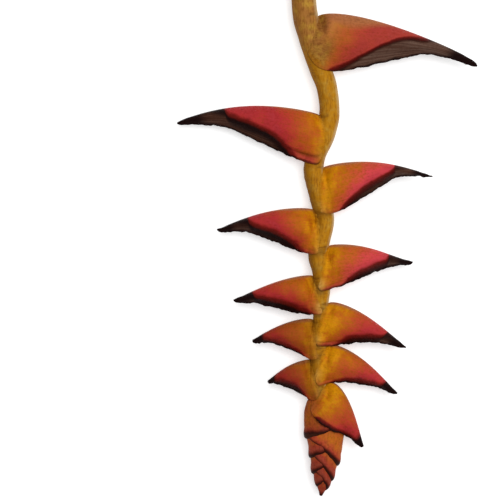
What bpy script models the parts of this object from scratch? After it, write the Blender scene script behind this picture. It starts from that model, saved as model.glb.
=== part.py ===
"""A heliconia flower head: a zigzag stem with eleven folded bracts in two rows and a bud of young ones.

It lies as picked on its broad side, with the surface at z = 0. The cut end of the stem is at +Y
and the tip of the bud at -Y, and the bracts stand out to both sides, along X. Sizes are in
millimetres, and the meshes in metres.
"""

import math
from typing import NamedTuple

import bmesh
import bpy
import numpy as np

MM = 0.001
SEAT_GAP = 0.4  # between two pieces that touch

# The stem's line: x and y of its axis, and its radius.
AXIS_HEIGHT = 10.7
STEM_LINE = [
    (-20.5, 221.5, 9.2),
    (-18.7, 172.5, 9.2),
    (-16.9, 141.0, 9.3),
    (-12.0, 120.0, 9.0),
    (-4.9, 97.5, 8.3),
    (-0.4, 84.0, 7.7),
    (1.4, 66.0, 7.4),
    (-1.5, 49.5, 7.3),
    (-8.6, 33.0, 7.2),
    (-10.3, 19.5, 7.2),
    (-6.0, 1.5, 7.1),
    (-1.9, -15.0, 7.0),
    (-5.6, -32.3, 6.9),
    (-7.5, -42.8, 6.8),
    (-4.5, -54.0, 6.7),
    (-4.5, -67.5, 6.5),
    (-6.0, -78.0, 6.4),
    (-4.5, -88.5, 6.2),
    (-6.8, -108.8, 6.0),
    (-6.8, -129.0, 5.6),
    (-6.4, -149.5, 5.2),
]
STEM_STEP = 5.0
STEM_BEVEL_RESOLUTION = 5

# A bract is a blade folded along its keel, with a slit between its two lips.
WALL_ROOT, WALL_TIP = 1.5, 0.7
BEAK_DEPTH = 1.6
SLIT = 0.8
FOLD_SHARE = 0.42  # how far down from the keel the cheeks stand widest
LIP_CURVE = 1.4  # above 1 the cheeks come in to the lips in a hollow sweep
WRAP_FADE = 6  # how soon the root's reach round the stem dies out along the bract
ROOT_SPAN = 4.0  # the stretch of stem beside the keel's root
WALL_SHARE = 0.1  # below this share of the depth the wall faces the stem
BLEND = 6  # how sharply the cheek's own curve gives way to the stem's
KEEL_FULLNESS = 0.7  # below 1 the keel's bow is fuller than a sine
CHEEK_SHARES = (0.85, 1.2, 0.63, 0.09)  # the cheeks' width at four places along, over the half width
WRAP_LEAN = 0.75  # below 1 the root reaches furthest nearer the keel
FLOOR_WALL = 0.7  # how much of the wall is left where a cheek rests on the surface
STATIONS = 14
STATION_CROWDING = 0.95
FOLD_POINTS = 7
KEEL_CROWDING = 1.25  # above 1 the points crowd towards the keel
SHARP_ANGLE = 35


class Bract(NamedTuple):
    side: int  # 1 points to +X, and -1 to -X
    keel_root: float  # y at which the keel leaves the stem
    throat: tuple  # where the two lips meet the stem
    tip: tuple
    arch: float  # height of the keel's bow, over the length
    peak: float  # where along the length the bow is highest
    belly: tuple  # length and angle of the lip's handle at the throat
    beak: tuple  # length and angle of the lip's handle at the tip
    half_width: float
    wrap: float  # how far the root reaches round the front and back of the stem
    lift: float  # how much higher the tip lies than the root
    hook: float = 0.4  # how much the keel draws in towards the tip
    mouth: float = 4.0  # how far each lip stands out at the throat
    fade: float = 8  # how soon the lips close again


BRACTS = [
    Bract(1, 136.5, (-1.1, 96.8), (112.1, 100.5), 0.085, 0.38, (30.0, -6), (47.4, -26), 12.2, 1.0, 3.0,
          hook=-0.15),
    Bract(-1, 63.0, (-9.8, 26.6), (-112.9, 57.9), 0.092, 0.50, (21.0, 8), (38.0, -8), 12.0, 1.5, -2.0,
          hook=0.12),
    Bract(1, 23.3, (4.1, -9.8), (78.0, 17.9), 0.091, 0.45, (14.5, 9), (26.5, -19), 11.9, 1.0, 4.0, hook=0.3),
    Bract(-1, -8.3, (-11.6, -40.5), (-82.9, -22.7), 0.083, 0.42, (16.5, 3), (25.0, -11), 11.8, 2.0, 1.0,
          hook=0.25),
    Bract(1, -36.0, (-4.1, -68.3), (64.1, -46.4), 0.082, 0.35, (21.5, 9), (22.0, 2), 11.8, 2.0, -2.0, hook=0.9),
    Bract(-1, -57.8, (-5.6, -85.5), (-70.5, -75.2), 0.070, 0.36, (19.0, -7), (22.0, 1), 11.5, 2.0, 3.0),
    Bract(1, -78.8, (-6.4, -109.5), (58.9, -110.4), 0.106, 0.32, (19.5, -2), (31.0, -16), 11.6, 2.5, 2.0),
    Bract(-1, -90.8, (-14.6, -118.8), (-56.3, -105.2), 0.100, 0.36, (8.5, 32), (13.5, -3), 10.4, 4.0, 4.0,
          hook=0.2, mouth=3),
    Bract(1, -109.9, (-4.9, -138.8), (52.5, -144.9), 0.116, 0.34, (15.0, 17), (25.5, -18), 11.0, 2.5, -1.0),
    Bract(-1, -120.0, (-13.9, -148.9), (-44.6, -135.5), 0.095, 0.42, (10.5, 32), (9.5, 14), 10.2, 4.0, 2.0,
          mouth=3),
    Bract(1, -138.4, (-12.4, -158.3), (27.0, -184.7), 0.170, 0.25, (14.5, -69), (16.0, -43), 10.6, 0.0, 1.0,
          hook=0.3, mouth=7.5, fade=2),
]

# The bud's outline where nothing overlaps: y, x of its left and right side, and half its thickness.
BUD_OUTLINE = [
    (-149.9, -12.6, -0.6, 5.4),
    (-153.0, -15.4, 3.6, 6.9),
    (-159.0, -17.2, 9.0, 8.0),
    (-172.5, -17.1, 12.6, 9.2),
    (-180.0, -15.9, 12.0, 9.2),
    (-187.5, -14.4, 10.9, 9.0),
    (-195.0, -14.0, 9.4, 8.6),
    (-202.5, -13.4, 7.2, 7.8),
    (-210.0, -11.9, 4.9, 6.6),
    (-216.0, -9.8, 2.2, 4.6),
    (-221.3, -7.3, -2.4, 2.0),
]
# Each young bract of the bud: y of its margin on the bud's axis, and how much lower it is at the right.
YOUNG_BRACTS = [
    (-174.5, -5.5),
    (-190.0, 10.0),
    (-193.0, -1.0),
    (-201.0, 8.5),
    (-204.5, -1.0),
    (-209.0, 7.0),
    (-214.5, -1.5),
    (-221.3, 0.0),
]
YOUNG_STEP = 0.45  # each one lies this far inside the one before
YOUNG_FLARE = 0.7  # how far its margin stands out
FLARE_LENGTH = 4.0
YOUNG_TOP_STEP = 0.8  # each one starts this far below the one before
YOUNG_SIDES = 20
YOUNG_RINGS = 6
YOUNG_CROWDING = 0.8  # below 1 the rings crowd towards the margin


def smooth_line(points, step):
    """Points about one step apart on a smooth line through the given ones, led by their x and y."""
    given = np.array(points, float)
    padded = np.vstack([2 * given[0] - given[1], given, 2 * given[-1] - given[-2]])
    line = []
    for before, start, end, after in zip(padded, padded[1:], padded[2:], padded[3:]):
        count = max(1, round(np.hypot(*(end - start)[:2]) / step))
        for t in np.arange(count) / count:
            line.append(
                0.5 * (2 * start + (end - before) * t + (2 * before - 5 * start + 4 * end - after) * t**2
                       + (3 * start - before - 3 * end + after) * t**3)
            )
    return np.array(line + [given[-1]])


STEM_AXIS = smooth_line(STEM_LINE, 1.0)
BUD_SHAPE = smooth_line(BUD_OUTLINE, 1.0)


def unit(angle_degrees, side):
    angle = math.radians(angle_degrees)
    return np.array([side * math.cos(angle), math.sin(angle)])


def bud_at(y):
    """Left side, right side and half thickness of the bud at this y."""
    return [np.interp(-y, -BUD_SHAPE[:, 0], BUD_SHAPE[:, column]) for column in (1, 2, 3)]


def clear_of_stem(x, y, margin):
    """How far above or below its own mid-plane a point has to lie to be this far outside the stem."""
    reach = STEM_AXIS[:, 2] + margin
    away = np.hypot(STEM_AXIS[:, 0] - x, STEM_AXIS[:, 1] - y)
    return math.sqrt(max(0.0, (reach**2 - away**2).max()))


def clear_of_bud(x, y, margin):
    if y > BUD_OUTLINE[0][0] + margin or y < BUD_OUTLINE[-1][0]:
        return 0.0
    left, right, thick = bud_at(min(y, BUD_OUTLINE[0][0]))
    across = (x - (left + right) / 2) / ((right - left) / 2 + margin)
    return (thick + margin) * math.sqrt(max(0.0, 1 - across**2))


def keel_start(bract):
    """The keel leaves the stem at the stem's side, just clear of it."""
    beside = STEM_AXIS[np.abs(STEM_AXIS[:, 1] - bract.keel_root) < ROOT_SPAN]
    edge = (bract.side * beside[:, 0] + beside[:, 2]).max() + SEAT_GAP
    lean = max(0.0, edge - bract.side * bract.throat[0]) / (bract.keel_root - bract.throat[1])
    return np.array([bract.side * (edge + WALL_ROOT * lean), bract.keel_root])


def keel_point(bract, along):
    root, tip = keel_start(bract), np.array(bract.tip)
    chord = tip - root
    up = np.array([-chord[1], chord[0]]) * bract.side
    turn = math.pi * along ** (math.log(0.5) / math.log(bract.peak))
    bow = bract.arch * max(0.0, math.sin(turn)) ** (KEEL_FULLNESS + bract.hook * along)
    return root + chord * along + up * bow


def lip_point(bract, along):
    """The lip's line, a Bezier curve from the throat to the tip."""
    throat, tip = np.array(bract.throat), np.array(bract.tip)
    near = throat + bract.belly[0] * unit(bract.belly[1], bract.side)
    far = tip - bract.beak[0] * unit(bract.beak[1], bract.side)
    rest = 1 - along
    return rest**3 * throat + 3 * rest**2 * along * near + 3 * rest * along**2 * far + along**3 * tip


def cheek_width(bract, along):
    """Half the width across the two cheeks, a Bezier curve that is widest near the root."""
    rest = 1 - along
    root, near, far, tip = (share * bract.half_width for share in CHEEK_SHARES)
    return rest**3 * root + 3 * rest**2 * along * near + 3 * rest * along**2 * far + along**3 * tip


def station(bract, along):
    """One station's ring: the outer line from lip over keel to lip, then the inner line back."""
    keel, lip = keel_point(bract, along), lip_point(bract, along)
    down = (lip - keel) / np.hypot(*(lip - keel)) if along < 1 else unit(-90, 1)
    keel, lip = keel - down * BEAK_DEPTH / 2 * along, lip + down * BEAK_DEPTH / 2 * along
    wall = WALL_ROOT + (WALL_TIP - WALL_ROOT) * along
    width = cheek_width(bract, along)
    lip_out = wall + SLIT / 2 + bract.mouth * (1 - along) ** bract.fade
    depth = np.hypot(*(lip - keel))
    plan, outer = [keel], [(0.0, 0.0)]
    for share in (np.arange(1, FOLD_POINTS + 1) / FOLD_POINTS) ** KEEL_CROWDING:
        if share < FOLD_SHARE:
            out = width * math.sqrt(1 - (1 - share / FOLD_SHARE) ** 2)
        else:
            fall = math.cos(math.pi / 2 * (share - FOLD_SHARE) / (1 - FOLD_SHARE)) if share < 1 else 0.0
            out = lip_out + (width - lip_out) * fall**LIP_CURVE
        wrap = bract.wrap * (1 - along) ** WRAP_FADE * math.sin(math.pi * share**WRAP_LEAN)
        plan.append(keel + (lip - keel) * share + wrap * np.array([-bract.side, 0]))
        margin = SEAT_GAP + wall * min(1.0, share / WALL_SHARE)
        clear = max(clear_of_stem(*plan[-1], margin), clear_of_bud(*plan[-1], margin + YOUNG_FLARE))
        outer.append((share * depth, (out**BLEND + clear**BLEND) ** (1 / BLEND)))
    plan, half = np.array(plan), np.array(outer)
    plan, whole = np.vstack([plan[::-1], plan[1:]]), np.vstack([half[::-1], half[1:] * (1, -1)])
    run = np.gradient(whole, axis=0)
    run /= np.hypot(run[:, 0], run[:, 1])[:, None]
    into = wall * np.column_stack([-run[:, 1], run[:, 0]])
    middle = AXIS_HEIGHT + bract.lift * along**2
    outside = np.column_stack([plan, np.maximum(middle + whole[:, 1], 0)])
    inner_height = np.maximum(middle + (whole + into)[:, 1], wall * FLOOR_WALL)
    inside = np.column_stack([plan + into[:, :1] * down, inner_height])
    return np.vstack([outside, inside[::-1]]) * MM


def mesh_object(name, bm, collection):
    bmesh.ops.recalc_face_normals(bm, faces=bm.faces)
    mesh = bpy.data.meshes.new(name)
    bm.to_mesh(mesh)
    bm.free()
    mesh.shade_smooth()
    mesh.set_sharp_from_angle(angle=math.radians(SHARP_ANGLE))
    made = bpy.data.objects.new(name, mesh)
    collection.objects.link(made)
    return made


def make_bract(name, bract, collection):
    """A folded blade: closed rings from the root to the beak, and the wall's own end faces."""
    bm = bmesh.new()
    rings = []
    for along in (np.arange(STATIONS) / (STATIONS - 1)) ** STATION_CROWDING:
        rings.append([bm.verts.new(point) for point in station(bract, along)])
    size = len(rings[0])
    for ring, following in zip(rings, rings[1:]):
        for i in range(size):
            j = (i + 1) % size
            bm.faces.new((ring[i], ring[j], following[j], following[i]))
    for ring in (rings[0], rings[-1]):
        for i in range(size // 2 - 1):
            bm.faces.new((ring[i], ring[i + 1], ring[size - 2 - i], ring[size - 1 - i]))
    return mesh_object(name, bm, collection)


def make_young_bract(index, collection):
    """A sleeve round the bud's axis that ends in a slanting margin, wider there by its flare."""
    margin_y, slant = YOUNG_BRACTS[index]
    top = BUD_OUTLINE[0][0] - YOUNG_TOP_STEP * index
    bm = bmesh.new()
    rings = []
    for ring in range(YOUNG_RINGS + 1):
        share = (ring / YOUNG_RINGS) ** YOUNG_CROWDING
        points = []
        for turn in np.arange(YOUNG_SIDES) * 2 * math.pi / YOUNG_SIDES:
            end = margin_y - slant * math.cos(turn)
            y = top + (end - top) * share
            left, right, thick = bud_at(y)
            inset = YOUNG_STEP * index - YOUNG_FLARE * math.exp((end - y) / FLARE_LENGTH)
            reach = (right - left) / 2
            shrink = 1 - min(inset / reach, 0.5)
            x = (left + right) / 2 + reach * shrink * math.cos(turn)
            z = AXIS_HEIGHT + thick * shrink * math.sin(turn)
            points.append(bm.verts.new((x * MM, y * MM, z * MM)))
        rings.append(points)
    for ring, following in zip(rings, rings[1:]):
        for i in range(YOUNG_SIDES):
            j = (i + 1) % YOUNG_SIDES
            bm.faces.new((ring[i], ring[j], following[j], following[i]))
    bmesh.ops.poke(bm, faces=[bm.faces.new(rings[0]), bm.faces.new(rings[-1])])
    return mesh_object(f"young_bract_{index}", bm, collection)


def make_bud(collection):
    """The young bracts, joined into one body."""
    young = bpy.data.collections.new("young_bracts")
    bpy.context.scene.collection.children.link(young)
    pieces = [make_young_bract(index, young) for index in range(1, len(YOUNG_BRACTS))]
    bud = make_young_bract(0, collection)
    bud.name = bud.data.name = "terminal_bud"
    join = bud.modifiers.new("join", "BOOLEAN")
    join.operation = "UNION"
    join.operand_type = "COLLECTION"
    join.collection = young
    graph = bpy.context.evaluated_depsgraph_get()
    joined = bpy.data.meshes.new_from_object(bud.evaluated_get(graph))
    bud.modifiers.clear()
    bud.data = joined
    for piece in pieces:
        bpy.data.objects.remove(piece)
    bpy.data.collections.remove(young)
    return bud


def make_stem(collection):
    curve = bpy.data.curves.new("stem", "CURVE")
    curve.dimensions = "3D"
    curve.fill_mode = "FULL"
    curve.use_fill_caps = True
    curve.bevel_depth = MM
    curve.bevel_resolution = STEM_BEVEL_RESOLUTION
    line = smooth_line(STEM_LINE, STEM_STEP)
    spline = curve.splines.new("POLY")
    spline.points.add(len(line) - 1)
    for point, (x, y, radius) in zip(spline.points, line):
        point.co = (x * MM, y * MM, AXIS_HEIGHT * MM, 1)
        point.radius = radius
    stem = bpy.data.objects.new("stem", curve)
    collection.objects.link(stem)
    return stem


def principled(name, colour, roughness):
    material = bpy.data.materials.new(name)
    material.use_nodes = True
    shader = material.node_tree.nodes["Principled BSDF"]
    shader.inputs["Base Color"].default_value = (*colour, 1)
    shader.inputs["Roughness"].default_value = roughness
    shader.inputs["Metallic"].default_value = 0
    return material


def main():
    for old in list(bpy.data.objects):
        bpy.data.objects.remove(old)
    flower = bpy.data.collections.new("heliconia_flower")
    bpy.context.scene.collection.children.link(flower)
    stem_gold = principled("stem_gold", (0.45, 0.22, 0.035), 0.7)
    bract_red = principled("bract_red", (0.45, 0.05, 0.04), 0.55)
    bud_maroon = principled("bud_maroon", (0.22, 0.03, 0.015), 0.6)
    make_stem(flower).data.materials.append(stem_gold)
    for number, bract in enumerate(BRACTS, 1):
        make_bract(f"bract_{number:02d}", bract, flower).data.materials.append(bract_red)
    make_bud(flower).data.materials.append(bud_maroon)


main()
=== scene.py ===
# %% [markdown]
# # A heliconia flower
#
# A pendent heliconia is a zigzag stem with folded, boat-shaped bracts in two rows and a bud of
# young bracts at its tip. Here it lies on a pale table as picked, and the camera looks straight
# down on it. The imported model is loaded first. It holds the real sizes, and every piece made below
# stays where its solid is. Lengths below are in millimetres, and the meshes are in metres.

# %% Load the frame
import math
from typing import NamedTuple

import bmesh
import bpy
import numpy as np
from mathutils import Matrix, Vector, noise


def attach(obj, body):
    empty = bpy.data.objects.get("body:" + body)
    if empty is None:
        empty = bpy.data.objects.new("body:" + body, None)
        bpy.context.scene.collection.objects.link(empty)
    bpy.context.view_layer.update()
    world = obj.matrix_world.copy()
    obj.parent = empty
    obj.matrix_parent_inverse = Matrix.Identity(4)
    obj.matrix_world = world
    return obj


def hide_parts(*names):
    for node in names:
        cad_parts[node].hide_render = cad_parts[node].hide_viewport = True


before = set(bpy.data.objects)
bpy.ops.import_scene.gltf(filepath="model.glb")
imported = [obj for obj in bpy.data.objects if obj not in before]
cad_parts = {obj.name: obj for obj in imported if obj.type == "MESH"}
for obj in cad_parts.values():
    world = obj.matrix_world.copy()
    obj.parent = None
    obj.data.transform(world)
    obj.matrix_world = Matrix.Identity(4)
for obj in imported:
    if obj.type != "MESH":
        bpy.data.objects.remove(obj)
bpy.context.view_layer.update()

MM = 0.001
print("nodes:", sorted(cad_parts))

# %% [markdown]
# ## The shapes of the solids
#
# The fine pieces follow the same lines as the solids, so those lines are given again: the stem's
# axis with its radius, the keel and the lip of each bract, and the outline of the bud. A smooth
# line through a few points, or a Bezier curve with two handles, is enough for each. Four groups of
# values then say how a bract's lips roll, where its margin dries, how red it is, and how aged and
# how darkened by painted shade it is.

# %% Lines of the stem, the bracts and the bud
AXIS_HEIGHT = 10.7
STEM_LINE = [  # x, y and radius
    (-20.5, 221.5, 9.2),
    (-18.7, 172.5, 9.2),
    (-16.9, 141.0, 9.3),
    (-12.0, 120.0, 9.0),
    (-4.9, 97.5, 8.3),
    (-0.4, 84.0, 7.7),
    (1.4, 66.0, 7.4),
    (-1.5, 49.5, 7.3),
    (-8.6, 33.0, 7.2),
    (-10.3, 19.5, 7.2),
    (-6.0, 1.5, 7.1),
    (-1.9, -15.0, 7.0),
    (-5.6, -32.3, 6.9),
    (-7.5, -42.8, 6.8),
    (-4.5, -54.0, 6.7),
    (-4.5, -67.5, 6.5),
    (-6.0, -78.0, 6.4),
    (-4.5, -88.5, 6.2),
    (-6.8, -108.8, 6.0),
    (-6.8, -129.0, 5.6),
    (-6.4, -149.5, 5.2),
]


class Lip(NamedTuple):
    roll: float  # how far it rolls out near the throat
    pinch: float  # how far the lips draw in where the beak starts
    rolled: float = 3.4  # how wide the rolled part is
    mouth: float = 4.0  # how far each lip stands out at the throat
    fade: float = 8  # how soon the lips close again
    grown: float = 0.3  # how far it has grown together with the stem where it crosses it


class Margin(NamedTuple):
    start: float  # where along the length the dark margin reaches the keel
    rise: float  # how far up it has risen by then, as a share of the depth
    bend: float  # above 1 it stays narrow for longer
    char: float  # how black the line along it is
    band: float  # how pale the dried lip is
    swing: float = 0.0  # how far it rises in a swing instead, level at both ends


class Flush(NamedTuple):
    start: float  # where along the length the red starts at the dark margin
    spread: float  # over how much of the length it then grows
    lean: float  # how much more slowly it grows at the keel
    full: float  # how red it gets
    rosy: float  # how bright and rosy it is
    corner: float = 0.0  # how red the corner already is


class Age(NamedTuple):
    # Painted shade, mostly on the lower left-hand bracts, and partly a browner skin.
    shade_and_brown: float  # how much darker than the others the bract is
    tan: float  # how wide the tan strip along the keel is, as a share of the depth
    aged: float  # how tan and wrinkled the root is
    cream: float  # how pale the corner is


class Bract(NamedTuple):
    side: int  # 1 points to +X, and -1 to -X
    keel_root: float  # y at which the keel leaves the stem
    throat: tuple  # where the two lips meet the stem's outline
    tip: tuple
    arch: float  # height of the keel's bow, over the length
    peak: float  # where along the length the bow is highest
    hook: float  # how much the keel draws in towards the tip
    belly: tuple  # length and angle of the lip's handle at the throat
    beak: tuple  # length and angle of the lip's handle at the tip
    half_width: float
    lift: float  # how much higher the tip lies than the root
    corner: tuple  # where the lip starts, on the far side of the stem's front
    clasp: float  # how far the root bows over the stem
    lip: Lip
    margin: Margin
    flush: Flush
    age: Age


BRACTS = [
    Bract(1, 136.5, (-1.1, 96.8), (112.1, 100.5), 0.085, 0.38, -0.15, (30, -6), (47.4, -26),
          12.2, 3, (-16.1, 112.5), -1, Lip(0.2, 1.2, grown=1),
          Margin(0.68, 0.86, 2, 0.1, 0.75, swing=1), Flush(0.1, 0.17, 0.7, 0.96, 0.15),
          Age(0.06, 0.36, 1, 0.1)),
    Bract(-1, 63, (-9.4, 26.4), (-112.9, 57.9), 0.092, 0.5, 0.12, (21, 8), (38, -8),
          12, -2, (-4.5, 33.5), 5, Lip(1, 1.4, rolled=6.2, grown=0.7),
          Margin(0.67, 0.6, 1.15, 1, 0.45), Flush(0.015, 0.3, 0.15, 0.96, 0.2),
          Age(0, 0.05, 0, 0.1)),
    Bract(1, 23.3, (4.1, -9.8), (78, 17.9), 0.091, 0.45, 0.3, (14.5, 9), (26.5, -19),
          11.9, 4, (-7.1, -9.5), 2.5, Lip(0.4, 1.9), Margin(0.66, 0.48, 1.4, 0.1, 0.6),
          Flush(0.07, 0.27, 1.8, 1.1, 1), Age(0, 0.08, 0, 0.5)),
    Bract(-1, -8.3, (-11.6, -40.5), (-82.9, -22.7), 0.083, 0.42, 0.25, (16.5, 3), (25, -11),
          11.8, 1, (-4.2, -38.5), 2, Lip(0.5, 0.2), Margin(0.68, 0.47, 1.2, 1, 0.35),
          Flush(0.035, 0.28, 1, 0.96, 0.2), Age(0, 0.08, 0, 0.4)),
    Bract(1, -36, (-4.1, -68.3), (64.1, -46.4), 0.082, 0.35, 0.9, (21.5, 9), (22, 2),
          11.8, -2, (-7.6, -64.5), 2.5, Lip(0.9, 0), Margin(0.72, 0.38, 1.4, 0.5, 0.55),
          Flush(0.06, 0.34, 1.3, 1.1, 1), Age(0, 0.08, 0, 1)),
    Bract(-1, -57.8, (-5.6, -85.5), (-70.5, -75.2), 0.07, 0.36, 0.4, (19, -7), (22, 1),
          11.5, 3, (-3.9, -81.5), 0.5, Lip(0.3, 0.5), Margin(0.76, 0.43, 1.1, 1, 0.2),
          Flush(-0.01, 0.26, 2.6, 0.98, 0.1), Age(0.05, 0.08, 0, 0.9)),
    Bract(1, -78.8, (-6.4, -109.5), (58.9, -110.4), 0.106, 0.32, 0.4, (19.5, -2), (31, -16),
          11.6, 2, (-10.4, -105.5), 3, Lip(0.9, 0), Margin(0.74, 0.34, 0.9, 0.6, 0.5),
          Flush(0.1, 0.31, 1, 0.95, 0.3), Age(0, 0.08, 0, 0.5)),
    Bract(-1, -90.8, (-14.6, -118.8), (-56.3, -105.2), 0.1, 0.36, 0.2, (8.5, 32), (13.5, -3),
          10.4, 4, (-5, -116.5), 0.5, Lip(0.2, 0, mouth=3),
          Margin(0.84, 0.26, 2.8, 0.7, 0.2), Flush(0.06, 0.38, 1, 0.84, 0),
          Age(0.3, 0.12, 0.1, 0.3)),
    Bract(1, -109.9, (-4.9, -138.8), (52.5, -144.9), 0.116, 0.34, 0.4, (15, 17), (25.5, -18),
          11, -1, (-10, -130.5), 2, Lip(0.5, 0.9), Margin(0.82, 0.18, 1.5, 0.7, 0.6),
          Flush(0.1, 0.37, 0.9, 0.9, 0.3), Age(0, 0.08, 0, 0.5)),
    Bract(-1, -120, (-13.9, -148.9), (-44.6, -135.5), 0.095, 0.42, 0.4, (10.5, 32), (9.5, 14),
          10.2, 2, (-4.6, -143.5), 0.5, Lip(0.2, 0.4, mouth=3),
          Margin(0.86, 0.36, 0.8, 0.7, 0.2), Flush(0.07, 0.36, 0.9, 0.84, 0),
          Age(0.36, 0.12, 0.1, 0.3)),
    Bract(1, -138.4, (-12.4, -158.3), (27, -184.7), 0.17, 0.25, 0.3, (14.5, -69), (16, -43),
          10.6, 1, (-12.6, -154.5), 0, Lip(0, 0, mouth=7.5, fade=2),
          Margin(0.92, 0.1, 1.2, 0, 0.2), Flush(0.18, 0.3, 1.1, 0.88, 0.2, corner=0.6),
          Age(0.05, 0.05, 0, 0.1)),
]
BUD_OUTLINE = [  # y, x of the left and the right side, and half the thickness
    (-149.9, -14.6, -0.6, 5.4),
    (-153.0, -15.8, 3.6, 6.9),
    (-159.0, -17.2, 9.0, 8.0),
    (-172.5, -17.1, 12.6, 9.2),
    (-180.0, -15.9, 12.0, 9.2),
    (-187.5, -14.4, 10.9, 9.0),
    (-195.0, -14.0, 9.4, 8.6),
    (-202.5, -13.4, 7.2, 7.8),
    (-210.0, -11.9, 4.9, 6.6),
    (-216.0, -9.8, 2.2, 4.6),
    (-221.3, -7.3, -2.4, 2.0),
]


def smooth_line(points, step):
    """Points about one step apart on a smooth line through the given ones, led by their x and y."""
    given = np.array(points, float)
    padded = np.vstack([2 * given[0] - given[1], given, 2 * given[-1] - given[-2]])
    line = []
    for before, start, end, after in zip(padded, padded[1:], padded[2:], padded[3:]):
        slope, turn = end - before, 2 * before - 5 * start + 4 * end - after
        twist = 3 * start - before - 3 * end + after
        count = max(1, round(np.hypot(*(end - start)[:2]) / step))
        for t in np.arange(count) / count:
            line.append(0.5 * (2 * start + slope * t + turn * t**2 + twist * t**3))
    return np.array(line + [given[-1]])


def smoothstep(low, high, value):
    share = np.clip((value - low) / (high - low), 0, 1)
    return share * share * (3 - 2 * share)


STEM_AXIS = smooth_line(STEM_LINE, 1.0)
BUD_SHAPE = smooth_line(BUD_OUTLINE, 1.0)
print(f"stem axis: {len(STEM_AXIS)} points, {STEM_LINE[0][1] - STEM_LINE[-1][1]:.0f} mm long")

# %% [markdown]
# ## A grid that is laid out by a function
#
# A bract, the stem and a young bract are all one skin, folded or rolled up. Each starts as a flat
# unit grid, whose operator also makes the UV map. A function then says where each point goes, and
# returns masks, such as the distance from the margin, that the material reads as attributes. That
# keeps one even mesh over the whole skin, which extruding rings one by one would not.

# %% Helpers for skins
WELD = 1e-6  # metres


def unit_grid(along, around):
    bm = bmesh.new()
    bm.loops.layers.uv.new("UVMap")
    bmesh.ops.create_grid(bm, x_segments=along, y_segments=around, size=0.5, calc_uvs=True)
    bmesh.ops.translate(bm, verts=bm.verts, vec=(0.5, 0.5, 0))
    return bm


def lay_out(bm, place):
    """Move each point of the grid to where place(along, around) puts it, and keep the masks."""
    grid = np.array([vertex.co[:2] for vertex in bm.verts])
    points, masks = place(grid[:, 0], grid[:, 1])
    layers = [bm.verts.layers.float.new(name) for name in masks]
    values = np.column_stack([np.broadcast_to(mask, len(grid)) for mask in masks.values()])
    for vertex, point, row in zip(bm.verts, points * MM, values):
        vertex.co = point
        for layer, value in zip(layers, row):
            vertex[layer] = value


def close_tube(bm):
    """Weld the seam of a rolled-up grid, close its open ends and return the new faces."""
    bmesh.ops.remove_doubles(bm, verts=bm.verts, dist=WELD)
    open_edges = [edge for edge in bm.edges if edge.is_boundary]
    return bmesh.ops.holes_fill(bm, edges=open_edges, sides=0)["faces"]


def link(name, data):
    made = bpy.data.objects.new(name, data)
    bpy.context.scene.collection.objects.link(made)
    return made


def new_object(name, bm, *materials):
    mesh = bpy.data.meshes.new(name)
    bm.to_mesh(mesh)
    bm.free()
    for material in materials:
        mesh.materials.append(material)
    return link(name, mesh)


def finish_piece(name, bm, *materials):
    piece = new_object(name, bm, *materials)
    piece.data.shade_smooth()
    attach(piece, "root")
    return piece


def waver(x, y, size, seed):
    """Smooth noise from about -1 to 1, whose bumps are about this size."""
    return np.array([noise.noise(Vector((a / size, b / size, seed))) for a, b in zip(x, y)])


def bell(distance, width):
    return np.exp(-((distance / width) ** 2))


def unit(angle_degrees, side):
    angle = math.radians(angle_degrees)
    return np.array([side * math.cos(angle), math.sin(angle)])


def stem_surface(x, y, margin):
    """How far from the mid-plane the skin lies, this margin outside the stem, or 0 beside it."""
    away = (STEM_AXIS[:, 0] - x[:, None]) ** 2 + (STEM_AXIS[:, 1] - y[:, None]) ** 2
    reach = np.maximum(STEM_AXIS[:, 2] + np.reshape(margin, (-1, 1)), 0)
    return np.sqrt(np.maximum((reach**2 - away).max(axis=1), 0))


def bud_at(y):
    """Left side, right side and half thickness of the bud at each y."""
    return [np.interp(-y, -BUD_SHAPE[:, 0], BUD_SHAPE[:, column]) for column in (1, 2, 3)]


def bud_surface(x, y, margin):
    left, right, thick = bud_at(y)
    across = (x - (left + right) / 2) / ((right - left) / 2 + margin)
    inside = (y < BUD_OUTLINE[0][0] + margin) & (y > BUD_OUTLINE[-1][0])
    return inside * (thick + margin) * np.sqrt(np.maximum(1 - across**2, 0))


# %% [markdown]
# ## Colours and shared effects
#
# The colours are chosen as the screen shows them and turned into the linear values that the shader
# uses. Four effects are shared by the skins, so each is a node group with named inputs: fibres that
# run along a skin, a soft mottling, a fine grain of short down for the bump, and the colour of the
# stem, which the roots of the bracts share. A flat colour would look like plastic, and an image
# would carry one photograph's light.

# %% Helpers for colours and nodes
WHITE = (1, 1, 1, 1)


def srgb(red, green, blue):
    """A screen colour from 0 to 255, as linear values."""
    return tuple((channel / 255) ** 2.2 for channel in (red, green, blue)) + (1,)


def new_group(name, inputs, outputs):
    """A node group with named inputs and their values, and named outputs and their types."""
    group = bpy.data.node_groups.new(name, "ShaderNodeTree")
    new_socket = group.interface.new_socket
    for label, value in inputs.items():
        socket = new_socket(name=label, in_out="INPUT", socket_type="NodeSocketFloat")
        socket.default_value = value
    for label, kind in outputs.items():
        new_socket(name=label, in_out="OUTPUT", socket_type=f"NodeSocket{kind}")
    given = group.nodes.new("NodeGroupInput").outputs
    return group, given, group.nodes.new("NodeGroupOutput").inputs


def node(tree, kind, settings=(), **inputs):
    """A new node with its settings. Inputs, by name or as i0, i1, take a value or a socket."""
    made = tree.nodes.new(kind)
    for name, value in dict(settings).items():
        setattr(made, name, value)
    for name, value in inputs.items():
        numbered = name[0] == "i" and name[1:].isdigit()
        socket = made.inputs[int(name[1:]) if numbered else name]
        if isinstance(value, bpy.types.NodeSocket):
            tree.links.new(value, socket)
        else:
            socket.default_value = value
    return made


def calc(tree, operation, first, second):
    return node(tree, "ShaderNodeMath", {"operation": operation}, i0=first, i1=second).outputs[0]


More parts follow.
